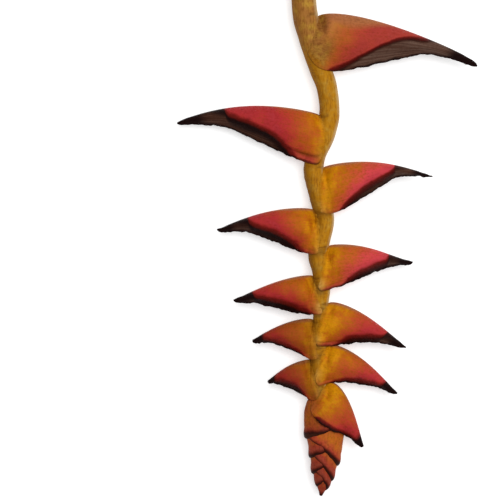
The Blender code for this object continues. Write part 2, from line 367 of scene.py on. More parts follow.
def add(tree, first, second, times=1.0):
    """The first value plus the second one, times a factor."""
    return calc(tree, "ADD", first, calc(tree, "MULTIPLY", second, times))


def stretch(tree, vector, scale):
    """A vector times another, which draws a texture out along one direction."""
    made = node(tree, "ShaderNodeVectorMath", {"operation": "MULTIPLY"}, i0=vector, i1=scale)
    return made.outputs[0]


def place_in(tree):
    """Where a point lies in its object's own space."""
    return node(tree, "ShaderNodeTexCoord").outputs["Object"]


def eased(tree, value, low, high):
    """0 below the first value and 1 past the second, with a soft start and end."""
    settings = {"interpolation_type": "SMOOTHSTEP"}
    return node(tree, "ShaderNodeMapRange", settings, i0=value, i1=low, i2=high).outputs[0]


def mix_colour(tree, share, first, second, blend="MIX"):
    settings = {"data_type": "RGBA", "blend_type": blend}
    return node(tree, "ShaderNodeMix", settings, i0=share, i6=first, i7=second).outputs[2]


def mask(tree, name):
    return node(tree, "ShaderNodeAttribute", {"attribute_name": name}).outputs["Fac"]


def cover(tree, skin, name, colour):
    """The skin with a colour laid over it where the mask of that name says."""
    return mix_colour(tree, mask(tree, name), skin, colour)


def ramp(tree, value, low, high, stops):
    """A colour ramp from one value to another, with stops given in the value's own units."""
    share = node(tree, "ShaderNodeMapRange", i0=value, i1=low, i2=high).outputs[0]
    made = node(tree, "ShaderNodeValToRGB", Fac=share)
    elements = made.color_ramp.elements
    while len(elements) < len(stops):
        elements.new(1.0)
    for element, (place, colour) in zip(elements, stops):
        element.position = (place - low) / (high - low)
    for element, (place, colour) in zip(elements, stops):
        element.color = colour
    return made.outputs["Color"]


def use_group(tree, group, **inputs):
    return node(tree, "ShaderNodeGroup", {"node_tree": group}, **inputs)


# %% Node groups
STEM_TAN, STEM_GOLD, STEM_OLIVE = srgb(160, 108, 52), srgb(178, 122, 22), srgb(184, 142, 56)
STRAND_SCALE, WRINKLE_SCALE = (800, 170, 800), (190, 760, 190)  # along the stem and across it


def make_fibres():
    """Streaks along a skin: a noise stretched along the first direction of the UV map."""
    group, given, result = new_group(
        "fibres", {"Length": 6, "Count": 120, "Seed": 0}, {"Streak": "Float"})
    uv = node(group, "ShaderNodeUVMap", {"uv_map": "UVMap"}).outputs[0]
    scale = node(group, "ShaderNodeCombineXYZ", X=given["Length"], Y=given["Count"])
    seed = node(group, "ShaderNodeCombineXYZ", Z=given["Seed"])
    shifted = node(group, "ShaderNodeVectorMath", {"operation": "ADD"},
                   i0=stretch(group, uv, scale.outputs[0]), i1=seed.outputs[0])
    streak = node(group, "ShaderNodeTexNoise", Vector=shifted.outputs[0],
                  Scale=1, Detail=4.0, Roughness=0.6)
    group.links.new(streak.outputs["Fac"], result["Streak"])
    return group


def make_mottle():
    """Soft blotches in the object's own space, from 0 to 1."""
    group, given, result = new_group(
        "mottle", {"Size": 0.01, "Contrast": 1.0}, {"Blotch": "Float"})
    scale = calc(group, "DIVIDE", 1.0, given["Size"])
    blotch = node(group, "ShaderNodeTexNoise", Vector=place_in(group),
                  Scale=scale, Detail=3.0, Roughness=0.55)
    centred = calc(group, "SUBTRACT", blotch.outputs["Fac"], 0.5)
    group.links.new(add(group, 0.5, centred, given["Contrast"]), result["Blotch"])
    return group


def make_down():
    """A bump for the short down on the skin, with its fibres."""
    group, given, result = new_group(
        "down", {"Streak": 0.5, "Coarse": 0.5, "Grain": 0.0007, "Strength": 0.3, "Depth": 0.0004},
        {"Normal": "Vector"})
    scale = calc(group, "DIVIDE", 1.0, given["Grain"])
    grain = node(group, "ShaderNodeTexNoise", Vector=place_in(group), Scale=scale, Detail=2.0)
    height = add(group, add(group, grain.outputs["Fac"], given["Streak"]), given["Coarse"])
    bump = node(group, "ShaderNodeBump", Height=height,
                Strength=given["Strength"], Distance=given["Depth"])
    group.links.new(bump.outputs["Normal"], result["Normal"])
    return group


def make_rachis():
    """The colour of the stem's skin, tan above the first bract and gold below it.

    Its relief runs along the stem, or across it where Knot is 1."""
    group, given, result = new_group(
        "rachis", {"Border": 0.104, "Wander": 0.02, "Knot": 1.0},
        {"Color": "Color", "Strand": "Float"})
    place = place_in(group)
    split = node(group, "ShaderNodeSeparateXYZ", i0=place)
    blotch = mottled(group, 0.006, 1.8)
    beside = calc(group, "ADD", split.outputs["X"], 0.008)
    wander = calc(group, "SUBTRACT", blotch, 0.5)
    height = add(group, add(group, split.outputs["Y"], beside, 0.75), wander, given["Wander"])
    past = calc(group, "SUBTRACT", height, given["Border"])
    skin = ramp(group, past, -0.02, 0.02,
                [(-0.02, STEM_GOLD), (-0.003, STEM_GOLD), (0.008, STEM_TAN)])
    light = node(group, "ShaderNodeMapRange", i0=blotch, i1=0.45, i2=0.95).outputs[0]
    skin = mix_colour(group, light, skin, STEM_OLIVE)
    strand = node(group, "ShaderNodeTexNoise", Vector=stretch(group, place, STRAND_SCALE),
                  Scale=1, Detail=3.0, Roughness=0.65)
    across = node(group, "ShaderNodeTexNoise", Vector=stretch(group, place, WRINKLE_SCALE),
                  Scale=1, Detail=3.0, Distortion=0.8)
    relief = node(group, "ShaderNodeMix", {"data_type": "FLOAT"}, i0=given["Knot"],
                  i2=strand.outputs["Fac"], i3=across.outputs["Fac"]).outputs[0]
    shade = ramp(group, relief, 0.3, 0.7,
                 [(0.3, srgb(186, 168, 146)), (0.5, srgb(238, 232, 222)), (0.7, WHITE)])
    group.links.new(mix_colour(group, 1.0, skin, shade, "MULTIPLY"), result["Color"])
    group.links.new(relief, result["Strand"])
    return group


def mottled(tree, size, contrast=1.0):
    return use_group(tree, MOTTLE, Size=size, Contrast=contrast).outputs["Blotch"]


FIBRES, MOTTLE, DOWN = make_fibres(), make_mottle(), make_down()
RACHIS = make_rachis()


def new_material(name, roughness, sheen=0.0, sheen_tint=WHITE, specular=0.4):
    material = bpy.data.materials.new(name)
    material.use_nodes = True
    tree = material.node_tree
    inputs = tree.nodes["Principled BSDF"].inputs
    values = {"Roughness": roughness, "Specular IOR Level": specular, "Sheen Weight": sheen,
              "Sheen Roughness": 0.4, "Sheen Tint": sheen_tint}
    for label, value in values.items():
        inputs[label].default_value = value
    return material, tree, inputs


def cover_with_down(tree, inputs, **values):
    tree.links.new(use_group(tree, DOWN, **values).outputs["Normal"], inputs["Normal"])


print("node groups:", [group.name for group in (FIBRES, MOTTLE, DOWN, RACHIS)])

# %% [markdown]
# ## The skin of a bract
#
# A ripe bract is gold at its root, turns orange and then crimson along its length, and ends in a
# dried, near-black margin and beak. Two masks carry the whole gradient through colour ramps: how
# ripe each place is, and how many millimetres it lies past the edge of the dark margin. Noise added
# to them makes the borders wander as on the real skin. Further masks lay tan, cream or soot over
# single places, and painted shade into wrinkles and grooves and over the darker bracts. The inside
# is paler, in a second material.

# %% Materials of the bracts
GOLD, AMBER, ORANGE = srgb(219, 145, 15), srgb(192, 106, 22), srgb(182, 84, 34)
VERMILION, CRIMSON, ROSE = srgb(176, 60, 39), srgb(166, 42, 44), srgb(160, 50, 52)
CORAL, PINK_RED, BLUSH = srgb(198, 84, 50), srgb(212, 72, 74), srgb(198, 64, 74)
KEEL_TAN, CREAM, PINK = srgb(176, 108, 66), srgb(214, 166, 84), srgb(174, 66, 52)
WINE, DEEP_WINE, MAROON = srgb(134, 32, 26), srgb(108, 26, 20), srgb(74, 17, 9)
# The second colour is painted shade, partly a browner skin.
SOOT, SHADE_BROWN = srgb(28, 7, 4), srgb(84, 38, 14)
DARK_UMBER, UMBER, PALE_UMBER = srgb(38, 20, 13), srgb(72, 44, 33), srgb(112, 88, 76)
SPECK_SIZE = 0.0018
RIPE_WANDER = 0.5
RED_RAMP = [(0, GOLD), (0.2, AMBER), (0.45, ORANGE), (0.7, VERMILION), (0.95, CRIMSON),
            (1.2, ROSE)]
ROSY_RAMP = [(0, GOLD), (0.2, AMBER), (0.5, CORAL), (0.85, PINK_RED), (1.2, BLUSH)]


def living_skin(name, shades, strength, paint, **fibres):
    """A skin with its colour from paint, and its fine shades and bump from fibres."""
    material, tree, inputs = new_material(
        name, 0.55, sheen=0.02, sheen_tint=srgb(220, 150, 90), specular=0.06)
    streak = use_group(tree, FIBRES, **fibres).outputs["Streak"]
    speck = mottled(tree, SPECK_SIZE)
    skin = paint(tree, streak, speck)
    shade = ramp(tree, add(tree, streak, speck), 0.6, 1.3, shades + [(1.3, WHITE)])
    tree.links.new(mix_colour(tree, 1.0, skin, shade, "MULTIPLY"), inputs["Base Color"])
    cover_with_down(tree, inputs, Streak=streak, Coarse=speck, Strength=strength)
    return material


def wandering(tree, streak, size, contrast):
    """Streaks and blotches together, about 0, which move the borders between colours."""
    return calc(tree, "SUBTRACT", add(tree, streak, mottled(tree, size, contrast)), 1.0)


def paint_bract(tree, streak, speck):
    wander = wandering(tree, streak, 0.009, 1.3)
    flecks = calc(tree, "SUBTRACT", speck, 0.5)
    ripe = add(tree, add(tree, mask(tree, "ripe"), wander, RIPE_WANDER), flecks, 0.55)
    skin = ramp(tree, ripe, 0, 1.2, RED_RAMP)
    skin = cover(tree, skin, "rosy", ramp(tree, ripe, 0, 1.2, ROSY_RAMP))
    skin = cover(tree, skin, "tan", KEEL_TAN)
    skin = cover(tree, skin, "root", use_group(tree, RACHIS, Knot=0.5).outputs["Color"])
    skin = cover(tree, skin, "cream", CREAM)
    skin = cover(tree, skin, "margin", PINK)
    # Painted shade in the troughs of the wrinkles round the root.
    shaded_wrinkles = ramp(tree, mask(tree, "wrinkle_shade"), 0.1, 0.8,
                  [(0.1, srgb(216, 196, 172)), (0.5, srgb(250, 248, 246)), (0.8, WHITE)])
    skin = mix_colour(tree, 1.0, skin, shaded_wrinkles, "MULTIPLY")
    # Painted shade over the whole bract, partly a browner skin.
    skin = cover(tree, skin, "shade_and_brown", SHADE_BROWN)
    return paint_margin(tree, skin, wander)


def paint_margin(tree, skin, wander):
    """Wine red, brown and black, over the millimetres that a place lies past the margin's edge."""
    edge = add(tree, mask(tree, "edge"), wander, 2.2)
    dried = ramp(tree, edge, -2.8, 2.4, [(-2.8, WINE), (-1.0, DEEP_WINE), (0.8, MAROON)])
    skin = mix_colour(tree, eased(tree, edge, -2.9, -0.8), skin, dried)
    shreds = use_group(tree, FIBRES, Length=4, Count=52, Seed=3).outputs["Streak"]
    ashen = calc(tree, "MULTIPLY", mask(tree, "band"), eased(tree, edge, 2.0, 7.0))
    ashen = add(tree, ashen, calc(tree, "SUBTRACT", shreds, 0.5), 1.6)
    brown = ramp(tree, ashen, -0.3, 1.1,
                 [(-0.3, SOOT), (0.0, DARK_UMBER), (0.5, UMBER), (1.1, PALE_UMBER)])
    skin = mix_colour(tree, eased(tree, edge, 1.6, 4.2), skin, brown)
    line = calc(tree, "MULTIPLY", eased(tree, edge, 0.4, 2.2), eased(tree, edge, 10.0, 3.6))
    skin = mix_colour(tree, calc(tree, "MULTIPLY", line, mask(tree, "char")), skin, SOOT)
    # Painted shade in the groove above a rolled lip.
    skin = cover(tree, skin, "groove", MAROON)
    rim = eased(tree, add(tree, mask(tree, "lip"), wander, 1.6), 2.4, 0.5)
    rim = calc(tree, "MULTIPLY", rim, mask(tree, "rim"))
    skin = mix_colour(tree, calc(tree, "MULTIPLY", rim, 0.9), skin, SOOT)
    return cover(tree, skin, "tip", SOOT)


def make_bract_lining():
    material, tree, inputs = new_material("bract lining", 0.6, specular=0.2)
    blotch = mottled(tree, 0.006)
    edge = add(tree, mask(tree, "edge"), blotch, 2.0)
    lining = ramp(tree, edge, -8, 3,
                  [(-8, srgb(196, 132, 78)), (-1, srgb(150, 60, 48)), (2, srgb(54, 26, 20))])
    tree.links.new(lining, inputs["Base Color"])
    cover_with_down(tree, inputs)
    return material


BRACT_SKIN = living_skin(
    "bract skin", [(0.65, srgb(202, 194, 188)), (1, srgb(242, 242, 242))], 0.8, paint_bract,
    Length=5, Count=90)
BRACT_LINING = make_bract_lining()

# %% [markdown]
# ## The bracts
#
# Each bract is a blade folded along its keel. Across, its section is a quarter ellipse from the
# keel down to the widest place and then a hollow sweep in to the lip. Along, the keel and the lip
# give its outline. At the root the skin hugs the stem and then swells out into the boat, so it
# seems to grow out of the stem, and the lip is ragged where it has dried. A Solidify modifier gives
# the wall.

# %% Lines of one bract
KEEL_INSIDE = 1.2  # how far inside the stem's side the keel starts


def keel_start(bract):
    nearest = STEM_AXIS[np.abs(STEM_AXIS[:, 1] - bract.keel_root).argmin()]
    return np.array([nearest[0] + bract.side * (nearest[2] - KEEL_INSIDE), bract.keel_root])


def keel_line(bract, along):
    root, tip = keel_start(bract), np.array(bract.tip)
    chord = tip - root
    up = np.array([-chord[1], chord[0]]) * bract.side
    turn = math.pi * along ** (math.log(0.5) / math.log(bract.peak))
    bow = bract.arch * np.maximum(np.sin(turn), 0) ** (0.7 + bract.hook * along)
    return root + chord * along[:, None] + up * bow[:, None]


def crossing(bract):
    """The share of the length over which the lip crosses the stem's front."""
    over_front = np.hypot(*(np.array(bract.throat) - bract.corner))
    return over_front / abs(bract.tip[0] - bract.corner[0])


def lip_line(bract, along):
    """One curve over the stem's front from the corner to the throat, and one on to the tip."""
    corner, throat, tip = (np.array(point) for point in (bract.corner, bract.throat, bract.tip))
    outwards = unit(bract.belly[1], bract.side)
    near = throat + bract.belly[0] * outwards
    far = tip - bract.beak[0] * unit(bract.beak[1], bract.side)
    first = crossing(bract)
    t = np.clip(along - first * (1 - smoothstep(first, 0.55, along)), 0, 1)[:, None]
    rest = 1 - t
    free = rest**3 * throat + 3 * rest**2 * t * near + 3 * rest * t**2 * far + t**3 * tip
    before = throat - outwards * 0.5 * np.hypot(*(throat - corner))
    t = np.clip(along / first, 0, 1)[:, None]
    across = (1 - t) ** 2 * corner + 2 * (1 - t) * t * before + t**2 * throat
    return np.where((along < first)[:, None], across, free)


def cheek_width(bract, along):
    rest = 1 - along
    root, near, far, tip = (share * bract.half_width for share in (0.85, 1.2, 0.63, 0.09))
    return rest**3 * root + 3 * rest**2 * along * near + 3 * rest * along**2 * far + along**3 * tip


# %% Skin of one bract
FOLD_SHARE = 0.42  # how far down the section is widest, as a share of the depth
LIP_CURVE = 1.4  # above 1 the skin sweeps in sooner below the widest place
BEAK_RISE, BEAK_DROP = 0.4, 1.7  # what the beak gains in depth above and below
TIP_ROUND = 0.035  # the share of the length over which the tip is rounded off
PINCH_LENGTH = 0.09
WALL_ROOT, WALL_TIP = 1.3, 0.7
SLIT = 0.8  # between the two lips
NICK, FINE_NICK = (0.9, 5.0), (0.6, 1.9)  # depth and length of the lip's nicks
DENT_DEPTH, DENT_SIZE = 0.45, 14.0
ROOT_SINK = 0.7  # how deep the root dips into the stem's skin
LIP_ABOVE, RIM_ABOVE = 0.6, 0.5  # how far the skin clears the stem, and what the lip adds
ROOT_ON_BUD, LIP_ON_BUD = 0.6, 0.7  # how much further they stay from the bud
CORNER_RED, CORNER_PALE = 8, 5  # how far the red and the pale skin reach round the corner
SWELL_LENGTH = 12  # from the root to where the boat is free of the stem
WRINKLE_DEPTH, WRINKLE_STEP = 0.4, 4.2
BLADE_ALONG, BLADE_AROUND = 140, 88
ROOT_CROWDING = 1.3  # above 1 the grid is finer near the root


def section(around):
    """Front or back, the turn round the keel, and how far down a point lies towards the lip."""
    from_keel = np.abs(2 * around - 1)
    turn = np.minimum(2 * from_keel, 1) * math.pi / 2
    lower = FOLD_SHARE + (1 - FOLD_SHARE) * (2 * from_keel - 1)
    share = np.where(from_keel < 0.5, FOLD_SHARE * (1 - np.cos(turn)), lower)
    return np.sign(0.5 - around), turn, share


def blade_plan(bract, along, share, front, seed):
    """Where each point lies from above, how deep the blade is there, and its length."""
    chord = np.array(bract.tip) - keel_start(bract)
    length = np.hypot(*chord)
    keel, lip = keel_line(bract, along), lip_line(bract, along)
    depth = np.hypot(*(lip - keel).T)
    down = lip - keel + 0.02 * np.array([chord[1], -chord[0]]) * bract.side / length
    down = down / np.hypot(*down.T)[:, None]
    keel = keel - down * (BEAK_RISE * along)[:, None]
    past = np.clip((along - 1 + TIP_ROUND) / TIP_ROUND, 0, 1)
    depth = depth + 2 * BEAK_RISE * along + BEAK_DROP * smoothstep(0.70, 0.94, along)
    depth = depth * np.sqrt(1 - 0.85 * past**2)

    # The dried lip is ragged, and the lips draw in where the beak starts.
    at, first = along * length, crossing(bract)
    nicks = NICK[0] * waver(at, front, NICK[1], seed)
    nicks = nicks + FINE_NICK[0] * waver(at, front, FINE_NICK[1], seed + 5)
    dry = smoothstep(first + 0.04, first + 0.15, along) * smoothstep(1.0, 0.9, along)
    pinched = bract.lip.pinch * bell(along - bract.margin.start, PINCH_LENGTH)
    below = depth * share + nicks * dry * smoothstep(0.86, 1.0, share)
    below = below - pinched * smoothstep(0.4, 1.0, share)
    plan = keel + down * below[:, None]
    plan[:, 1] += 0.8 * waver(at, 0 * at, 8.0, seed + 7) * smoothstep(0.8, 0.95, along)
    return plan, depth, length


def root_wrinkles(from_root, across, seed):
    """Wrinkles round the root and finer ones that fan out from it, about -1 to 1."""
    away = from_root + 1.6 * waver(across, from_root, 5.0, seed + 3)
    near = np.exp(-from_root / 7) * smoothstep(1.5, 4.5, from_root)
    strength = 0.5 + waver(across, from_root, 4.0, seed + 4)
    fan = waver(from_root / 9, across, 1.3, seed + 6) * np.exp(-from_root / 16)
    rings = strength * np.sin(2 * math.pi * away / WRINKLE_STEP) * near
    return rings + 0.8 * fan * smoothstep(1, 4, from_root)


def over_stem(x, y, margin, bud_margin):
    return np.maximum(stem_surface(x, y, margin), bud_surface(x, y, bud_margin))


def dark_edge(bract, along, share, depth, length, rolls):
    """Millimetres past the edge of the dark margin, and where that edge lies as a share."""
    margin, aged, first = bract.margin, bract.age.aged, crossing(bract)
    reached = np.minimum(along / margin.start, 1)
    climb = reached**margin.bend
    climb = climb + margin.swing * (smoothstep(0.22, 1, reached) - climb)
    border = 0.97 * (1 - margin.rise * climb) * np.sqrt(1 - reached**30)
    edge = (share - border) * depth + np.maximum(along - margin.start, 0) * length * 0.5
    edge = edge - 8 * smoothstep(first + 0.16 - 0.12 * aged, first - 0.02 - 0.03 * aged, along)
    edge = edge + (-6 - edge) * rolls
    edge = np.where(edge < 0, edge / (1 + 0.7 * margin.char), edge)
    return edge * (1 + 0.8 * aged * smoothstep(0.2, 0.42, along)), border


def ripeness(flush, along, share, border):
    """How ripe the skin is: 0 at the root, and full where the red has spread to."""
    inner = np.clip(1 - share / np.maximum(border, 1e-6), 0, 1)
    spread = flush.spread * (1 + flush.lean * inner)
    return flush.full * np.clip((along - flush.start) / spread, 0, 1)


def place_bract(bract, seed):
    lip, age = bract.lip, bract.age
    first = crossing(bract)
    root_keel, root_lip = keel_start(bract), np.array(bract.corner)

    def place(along, around):
        along = along**ROOT_CROWDING
        front, turn, share = section(around)
        plan, depth, length = blade_plan(bract, along, share, front, seed)

        # The root bows over the stem's front.
        bow = -bract.side * bract.clasp * np.sin(math.pi * share**0.8)
        plan[:, 0] += bow * (1 - along) ** 7
        x, y = plan.T
        root = root_keel + (root_lip - root_keel) * share[:, None]
        from_root = np.hypot(x - root[:, 0] - bow, y - root[:, 1])

        # How far the free boat stands out, with its rolled lip and soft dents.
        width = cheek_width(bract, along)
        wall = WALL_ROOT + (WALL_TIP - WALL_ROOT) * along
        lip_out = wall + SLIT / 2 + lip.mouth * (1 - along) ** lip.fade
        fall = np.cos(math.pi / 2 * np.clip((share - FOLD_SHARE) / (1 - FOLD_SHARE), 0, 1))
        free = np.where(share < FOLD_SHARE, width * np.sin(turn),
                        lip_out + (width - lip_out) * fall**LIP_CURVE)
        from_lip = (1 - share) * depth
        rolls = lip.roll * smoothstep(0.42, 0.16, along)
        curl = smoothstep(lip.rolled, 0.3 * lip.rolled, from_lip)
        groove = bell(from_lip - lip.rolled, 0.5 + 0.12 * lip.rolled)
        dents = waver(along * length, share * depth + 40 * front, DENT_SIZE, seed + 9)
        free = free + rolls * (1.3 * curl - 0.9 * groove)
        free = free + DENT_DEPTH * dents * smoothstep(0.05, 0.3, share) * (1 - along)

        # Near the root the skin hugs the stem and the bud, and then it swells out.
        rise = np.minimum(from_root / 3, 1)
        hug_margin = ROOT_SINK * (smoothstep(1, 6, from_root) - (1 - rise) ** 2)
        hug = over_stem(x, y, hug_margin, hug_margin + ROOT_ON_BUD)
        over_front = smoothstep(first + 0.03, first - 0.05, along)
        merged = lip.grown * over_front * smoothstep(0.3, 0.7, share)
        above = (LIP_ABOVE + RIM_ABOVE * smoothstep(0.8, 1.0, share)) * (1 - 0.8 * merged)
        clear = over_stem(x, y, above, above + LIP_ON_BUD)
        out = hug + ((free**6 + clear**6) ** (1 / 6) - hug) * smoothstep(0, SWELL_LENGTH, from_root)
        wrinkle = root_wrinkles(from_root, share * depth, seed)
        out = out + WRINKLE_DEPTH * wrinkle
        height = np.maximum(AXIS_HEIGHT + bract.lift * along**2 + out * front, 0)

        # Masks for the material and for the wall.
        edge, border = dark_edge(bract, along, share, depth, length, rolls)
        from_corner = np.hypot(x - root_lip[0], y - root_lip[1])
        early = bract.flush.corner * bell(from_corner, CORNER_RED)
        at_root = smoothstep(6 + 6 * age.aged, 0.5 + 4 * age.aged, from_root)
        strip = share + 0.75 * age.tan * smoothstep(0.2, 0.55, along)
        old = age.aged * (0.15 + 0.85 * smoothstep(0.26, 0.06, along + 0.1 * share))
        at_keel = smoothstep(0.5, 0.2, share) * smoothstep(8, 1, from_root)
        rolled_margin = rolls * smoothstep(lip.rolled, 0.7 * lip.rolled, from_lip)
        thin_lip = np.where(share > 0.8, 1 - 0.45 * (share - 0.8) / 0.2, 1)
        return np.column_stack([plan, height]), {
            "ripe": ripeness(bract.flush, along, share, border) + early,
            "rosy": bract.flush.rosy,
            "edge": edge,
            "char": bract.margin.char,
            "band": bract.margin.band,
            "lip": from_lip,
            "rim": np.maximum(smoothstep(first + 0.02, first + 0.2, along), 0.8 * rolls),
            "tip": smoothstep(0.77, 0.87, along + 0.03 * dents),
            "tan": np.maximum(smoothstep(age.tan, 0.3 * age.tan, strip), old),
            "root": np.maximum(at_root * (1 - np.minimum(1.6 * early, 1)), merged),
            "cream": age.cream * bell(from_corner, CORNER_PALE),
            "margin": rolled_margin * smoothstep(0, 0.15, along),
            # painted shade in the groove above a rolled lip
            "groove": (0.75 - 0.4 * age.cream) * rolls * groove * smoothstep(0.01, 0.1, along),
            # where the wrinkles lie, for their painted shade
            "wrinkle_shade": 0.5 + 0.5 * wrinkle,
            "shade_and_brown": age.shade_and_brown + 0.4 * early,
            "thick": thin_lip * (1 - 0.5 * along) * (1 - 0.85 * at_keel),
        }

    return place


# %% Make the bracts
def make_bract(number, bract):
    name = f"bract_{number:02d}"
    bm = unit_grid(BLADE_ALONG, BLADE_AROUND)
    lay_out(bm, place_bract(bract, 10.0 * number))
    if bract.side < 0:
        bmesh.ops.reverse_faces(bm, faces=bm.faces)
    blade = finish_piece(f"{name}_blade", bm, BRACT_SKIN, BRACT_LINING)
    group = blade.vertex_groups.new(name="thick")
    for vertex, value in zip(blade.data.vertices, blade.data.attributes["thick"].data):
        group.add([vertex.index], value.value, "REPLACE")
    wall = blade.modifiers.new("wall", "SOLIDIFY")
    wall.thickness = WALL_ROOT * MM
    wall.offset = -1
    wall.vertex_group = "thick"
    wall.material_offset = 1
    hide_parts(name)
    return blade


blades = [make_bract(number, bract) for number, bract in enumerate(BRACTS, 1)]
print("blades:", len(blades), "with", len(blades[0].data.polygons), "faces each")

# %% [markdown]
# ## The stem
#
# The stem is a tube along its zigzag axis. A lathe or a bevelled curve would make it too even, so
# its skin is a grid rolled round the axis, with low ribs along it and a swelling at each node. The
# cut end is filled, sunk a little in the middle and shows the pale pith.

# %% Materials of the stem
def make_stem_skin():
    material, tree, inputs = new_material(
        "stem skin", 0.65, sheen=0.08, sheen_tint=srgb(220, 190, 130), specular=0.08)
    rachis = use_group(tree, RACHIS, Knot=mask(tree, "knot"))
    # Painted shade: darker in the groove round each node and on the stem under each bract's lip.
    skin = cover(tree, rachis.outputs["Color"], "crease_shade", srgb(84, 50, 16))
    # Painted highlight, partly pale fuzz, on the stem's right side, and painted shade on its left
    # side.
    skin = cover(tree, skin, "lit_side_and_fuzz", srgb(190, 162, 116))
    skin = cover(tree, skin, "shaded", srgb(112, 70, 10))
    tree.links.new(skin, inputs["Base Color"])
    speck = mottled(tree, SPECK_SIZE)
    cover_with_down(tree, inputs, Streak=rachis.outputs["Strand"], Coarse=speck, Strength=0.5)
    return material


def make_pith():
    material, tree, inputs = new_material("stem pith", 0.8)
    strands = node(tree, "ShaderNodeTexVoronoi", Vector=place_in(tree), Scale=900.0)
    pith = ramp(tree, strands.outputs["Distance"], 0, 0.6,
                [(0.0, srgb(120, 96, 58)), (0.25, srgb(206, 190, 142)), (0.6, srgb(222, 208, 166))])
    tree.links.new(cover(tree, pith, "bark", srgb(118, 92, 48)), inputs["Base Color"])
    return material


STEM_SKIN, PITH = make_stem_skin(), make_pith()

# %% Make the stem
STEM_ALONG, STEM_AROUND = 420, 72
RIBS, RIB_HEIGHT, STRAND_HEIGHT = 17, 0.05, 0.12
LUMP_HEIGHT, CRUMPLE_HEIGHT = 0.25, 0.3
NODE_SWELLING, NODE_LENGTH = 0.25, 5
RING_DEPTH, RING_WIDTH = 0.35, 1.1
KNOT_ABOVE, KNOT_LENGTH = 4, 7  # the wrinkled stretch above each throat
CREASE_WIDTH = 3.0  # of the shade that a bract's lip casts on the stem
CUT_RINGS = ((0.9, 0.0), (0.97, -0.35), (0.75, -0.2), (0.6, 0.1), (0.4, 0.05))  # size and rise


def place_stem(along, around):
    line = smooth_line(STEM_LINE, 0.5)
    run = np.concatenate([[0], np.cumsum(np.hypot(*np.diff(line[:, :2], axis=0).T))])
    at = along * run[-1]
    x, y, radius = (np.interp(at, run, line[:, column]) for column in range(3))
    tangent = np.gradient(line[:, :2], axis=0)
    tangent /= np.hypot(*tangent.T)[:, None]
    side_x, side_y = (np.interp(at, run, column) for column in (-tangent[:, 1], tangent[:, 0]))
    angle = around * 2 * math.pi
    right = np.cos(angle) * np.sign(side_x)
    lower = smoothstep(60, 20, y)

    # None of the relief breaks at the seam, which lies at angle 0.
    ribs = RIB_HEIGHT * np.sin(angle * RIBS + 0.05 * at)
    strands = STRAND_HEIGHT * waver(at / 5, radius * angle, 1.6, 2.0) * np.sin(angle / 2)
    around_axis = radius * np.sin(angle) + 0.4 * radius * np.cos(angle)
    lumps = LUMP_HEIGHT * waver(at / 2, around_axis, 6.0, 7.0)
    crumpled = CRUMPLE_HEIGHT * waver(at, radius * angle, 2.8, 5.0) * lower
    reach = radius + ribs + strands + lumps + crumpled * smoothstep(0, 0.3, np.sin(angle / 2))
    crease_shade, knot = np.zeros(len(along)), np.zeros(len(along))
    for bract in BRACTS:
        past = y - bract.keel_root
        knot = np.maximum(knot, bell(y - bract.throat[1] - KNOT_ABOVE, KNOT_LENGTH))
        facing = smoothstep(-0.2, 0.6, right * bract.side)
        ring = facing * bell(past - 1.5 * np.sin(angle * 2), RING_WIDTH)
        reach = reach + NODE_SWELLING * bell(past, NODE_LENGTH) - RING_DEPTH * ring
        # The groove is darkened as well, as painted shade.
        crease_shade = np.maximum(crease_shade, 0.6 * ring)
    x, y = x + side_x * reach * np.cos(angle), y + side_y * reach * np.cos(angle)
    height = np.maximum(AXIS_HEIGHT + reach * np.sin(angle), 0.2)
    # Painted shade on the stem beside each lip where it crosses the stem's front.
    for bract in BRACTS:
        lip = lip_line(bract, np.linspace(0, crossing(bract), 9))
        away = np.hypot(x[:, None] - lip[:, 0], y[:, None] - lip[:, 1]).min(axis=1)
        shade = bell(away, CREASE_WIDTH) * smoothstep(0, 0.3, np.sin(angle))
        crease_shade = np.maximum(crease_shade, 0.75 * (1 - bract.lip.grown) * shade)
    # The right side is paler, as a painted highlight partly of pale fuzz, broken up by noise. The
    # left side is darker, as painted shade, more so lower down.
    patchy = np.clip(0.7 + waver(at, angle * 3, 5.0, 9.0), 0, 1)
    return np.column_stack([x, y, height]), {
        "crease_shade": crease_shade,
        "lit_side_and_fuzz": 0.85 * smoothstep(0.66, 0.96, right) * patchy,
        "shaded": (0.4 + 0.25 * lower) * smoothstep(-0.1, 0.9, -right),
        "bark": 1.0,
        "knot": knot,
    }


def make_stem():
    bm = unit_grid(STEM_ALONG, STEM_AROUND)
    lay_out(bm, place_stem)
    ends = close_tube(bm)
    bark = bm.verts.layers.float["bark"]
    for end in ends:
        end.material_index = 1
    for size, rise in CUT_RINGS:
        bmesh.ops.inset_region(bm, faces=ends, thickness=0.0)
        for end in ends:
            middle = Matrix.Translation(-end.calc_center_median())
            bmesh.ops.scale(bm, verts=end.verts, vec=(size, size, size), space=middle)
            bmesh.ops.translate(bm, verts=end.verts, vec=end.normal * rise * MM)
            for vertex in end.verts:
                vertex[bark] = 0.0
    bmesh.ops.poke(bm, faces=ends)
    bmesh.ops.recalc_face_normals(bm, faces=bm.faces)
    stem = finish_piece("stem_skin", bm, STEM_SKIN, PITH)
    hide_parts("stem")
    return stem


stem = make_stem()
print("stem:", len(stem.data.polygons), "faces")

# %% [markdown]
# ## The bud
#
# At the tip the young bracts are still rolled round each other. Each one is a sleeve that ends in a
# slanting margin, left and right by turns, and the next one looks out from under it. The sleeves
# are grids rolled round the bud's axis, like the stem. Each puffs out a little above its margin,
# which is dark and thins to an edge.

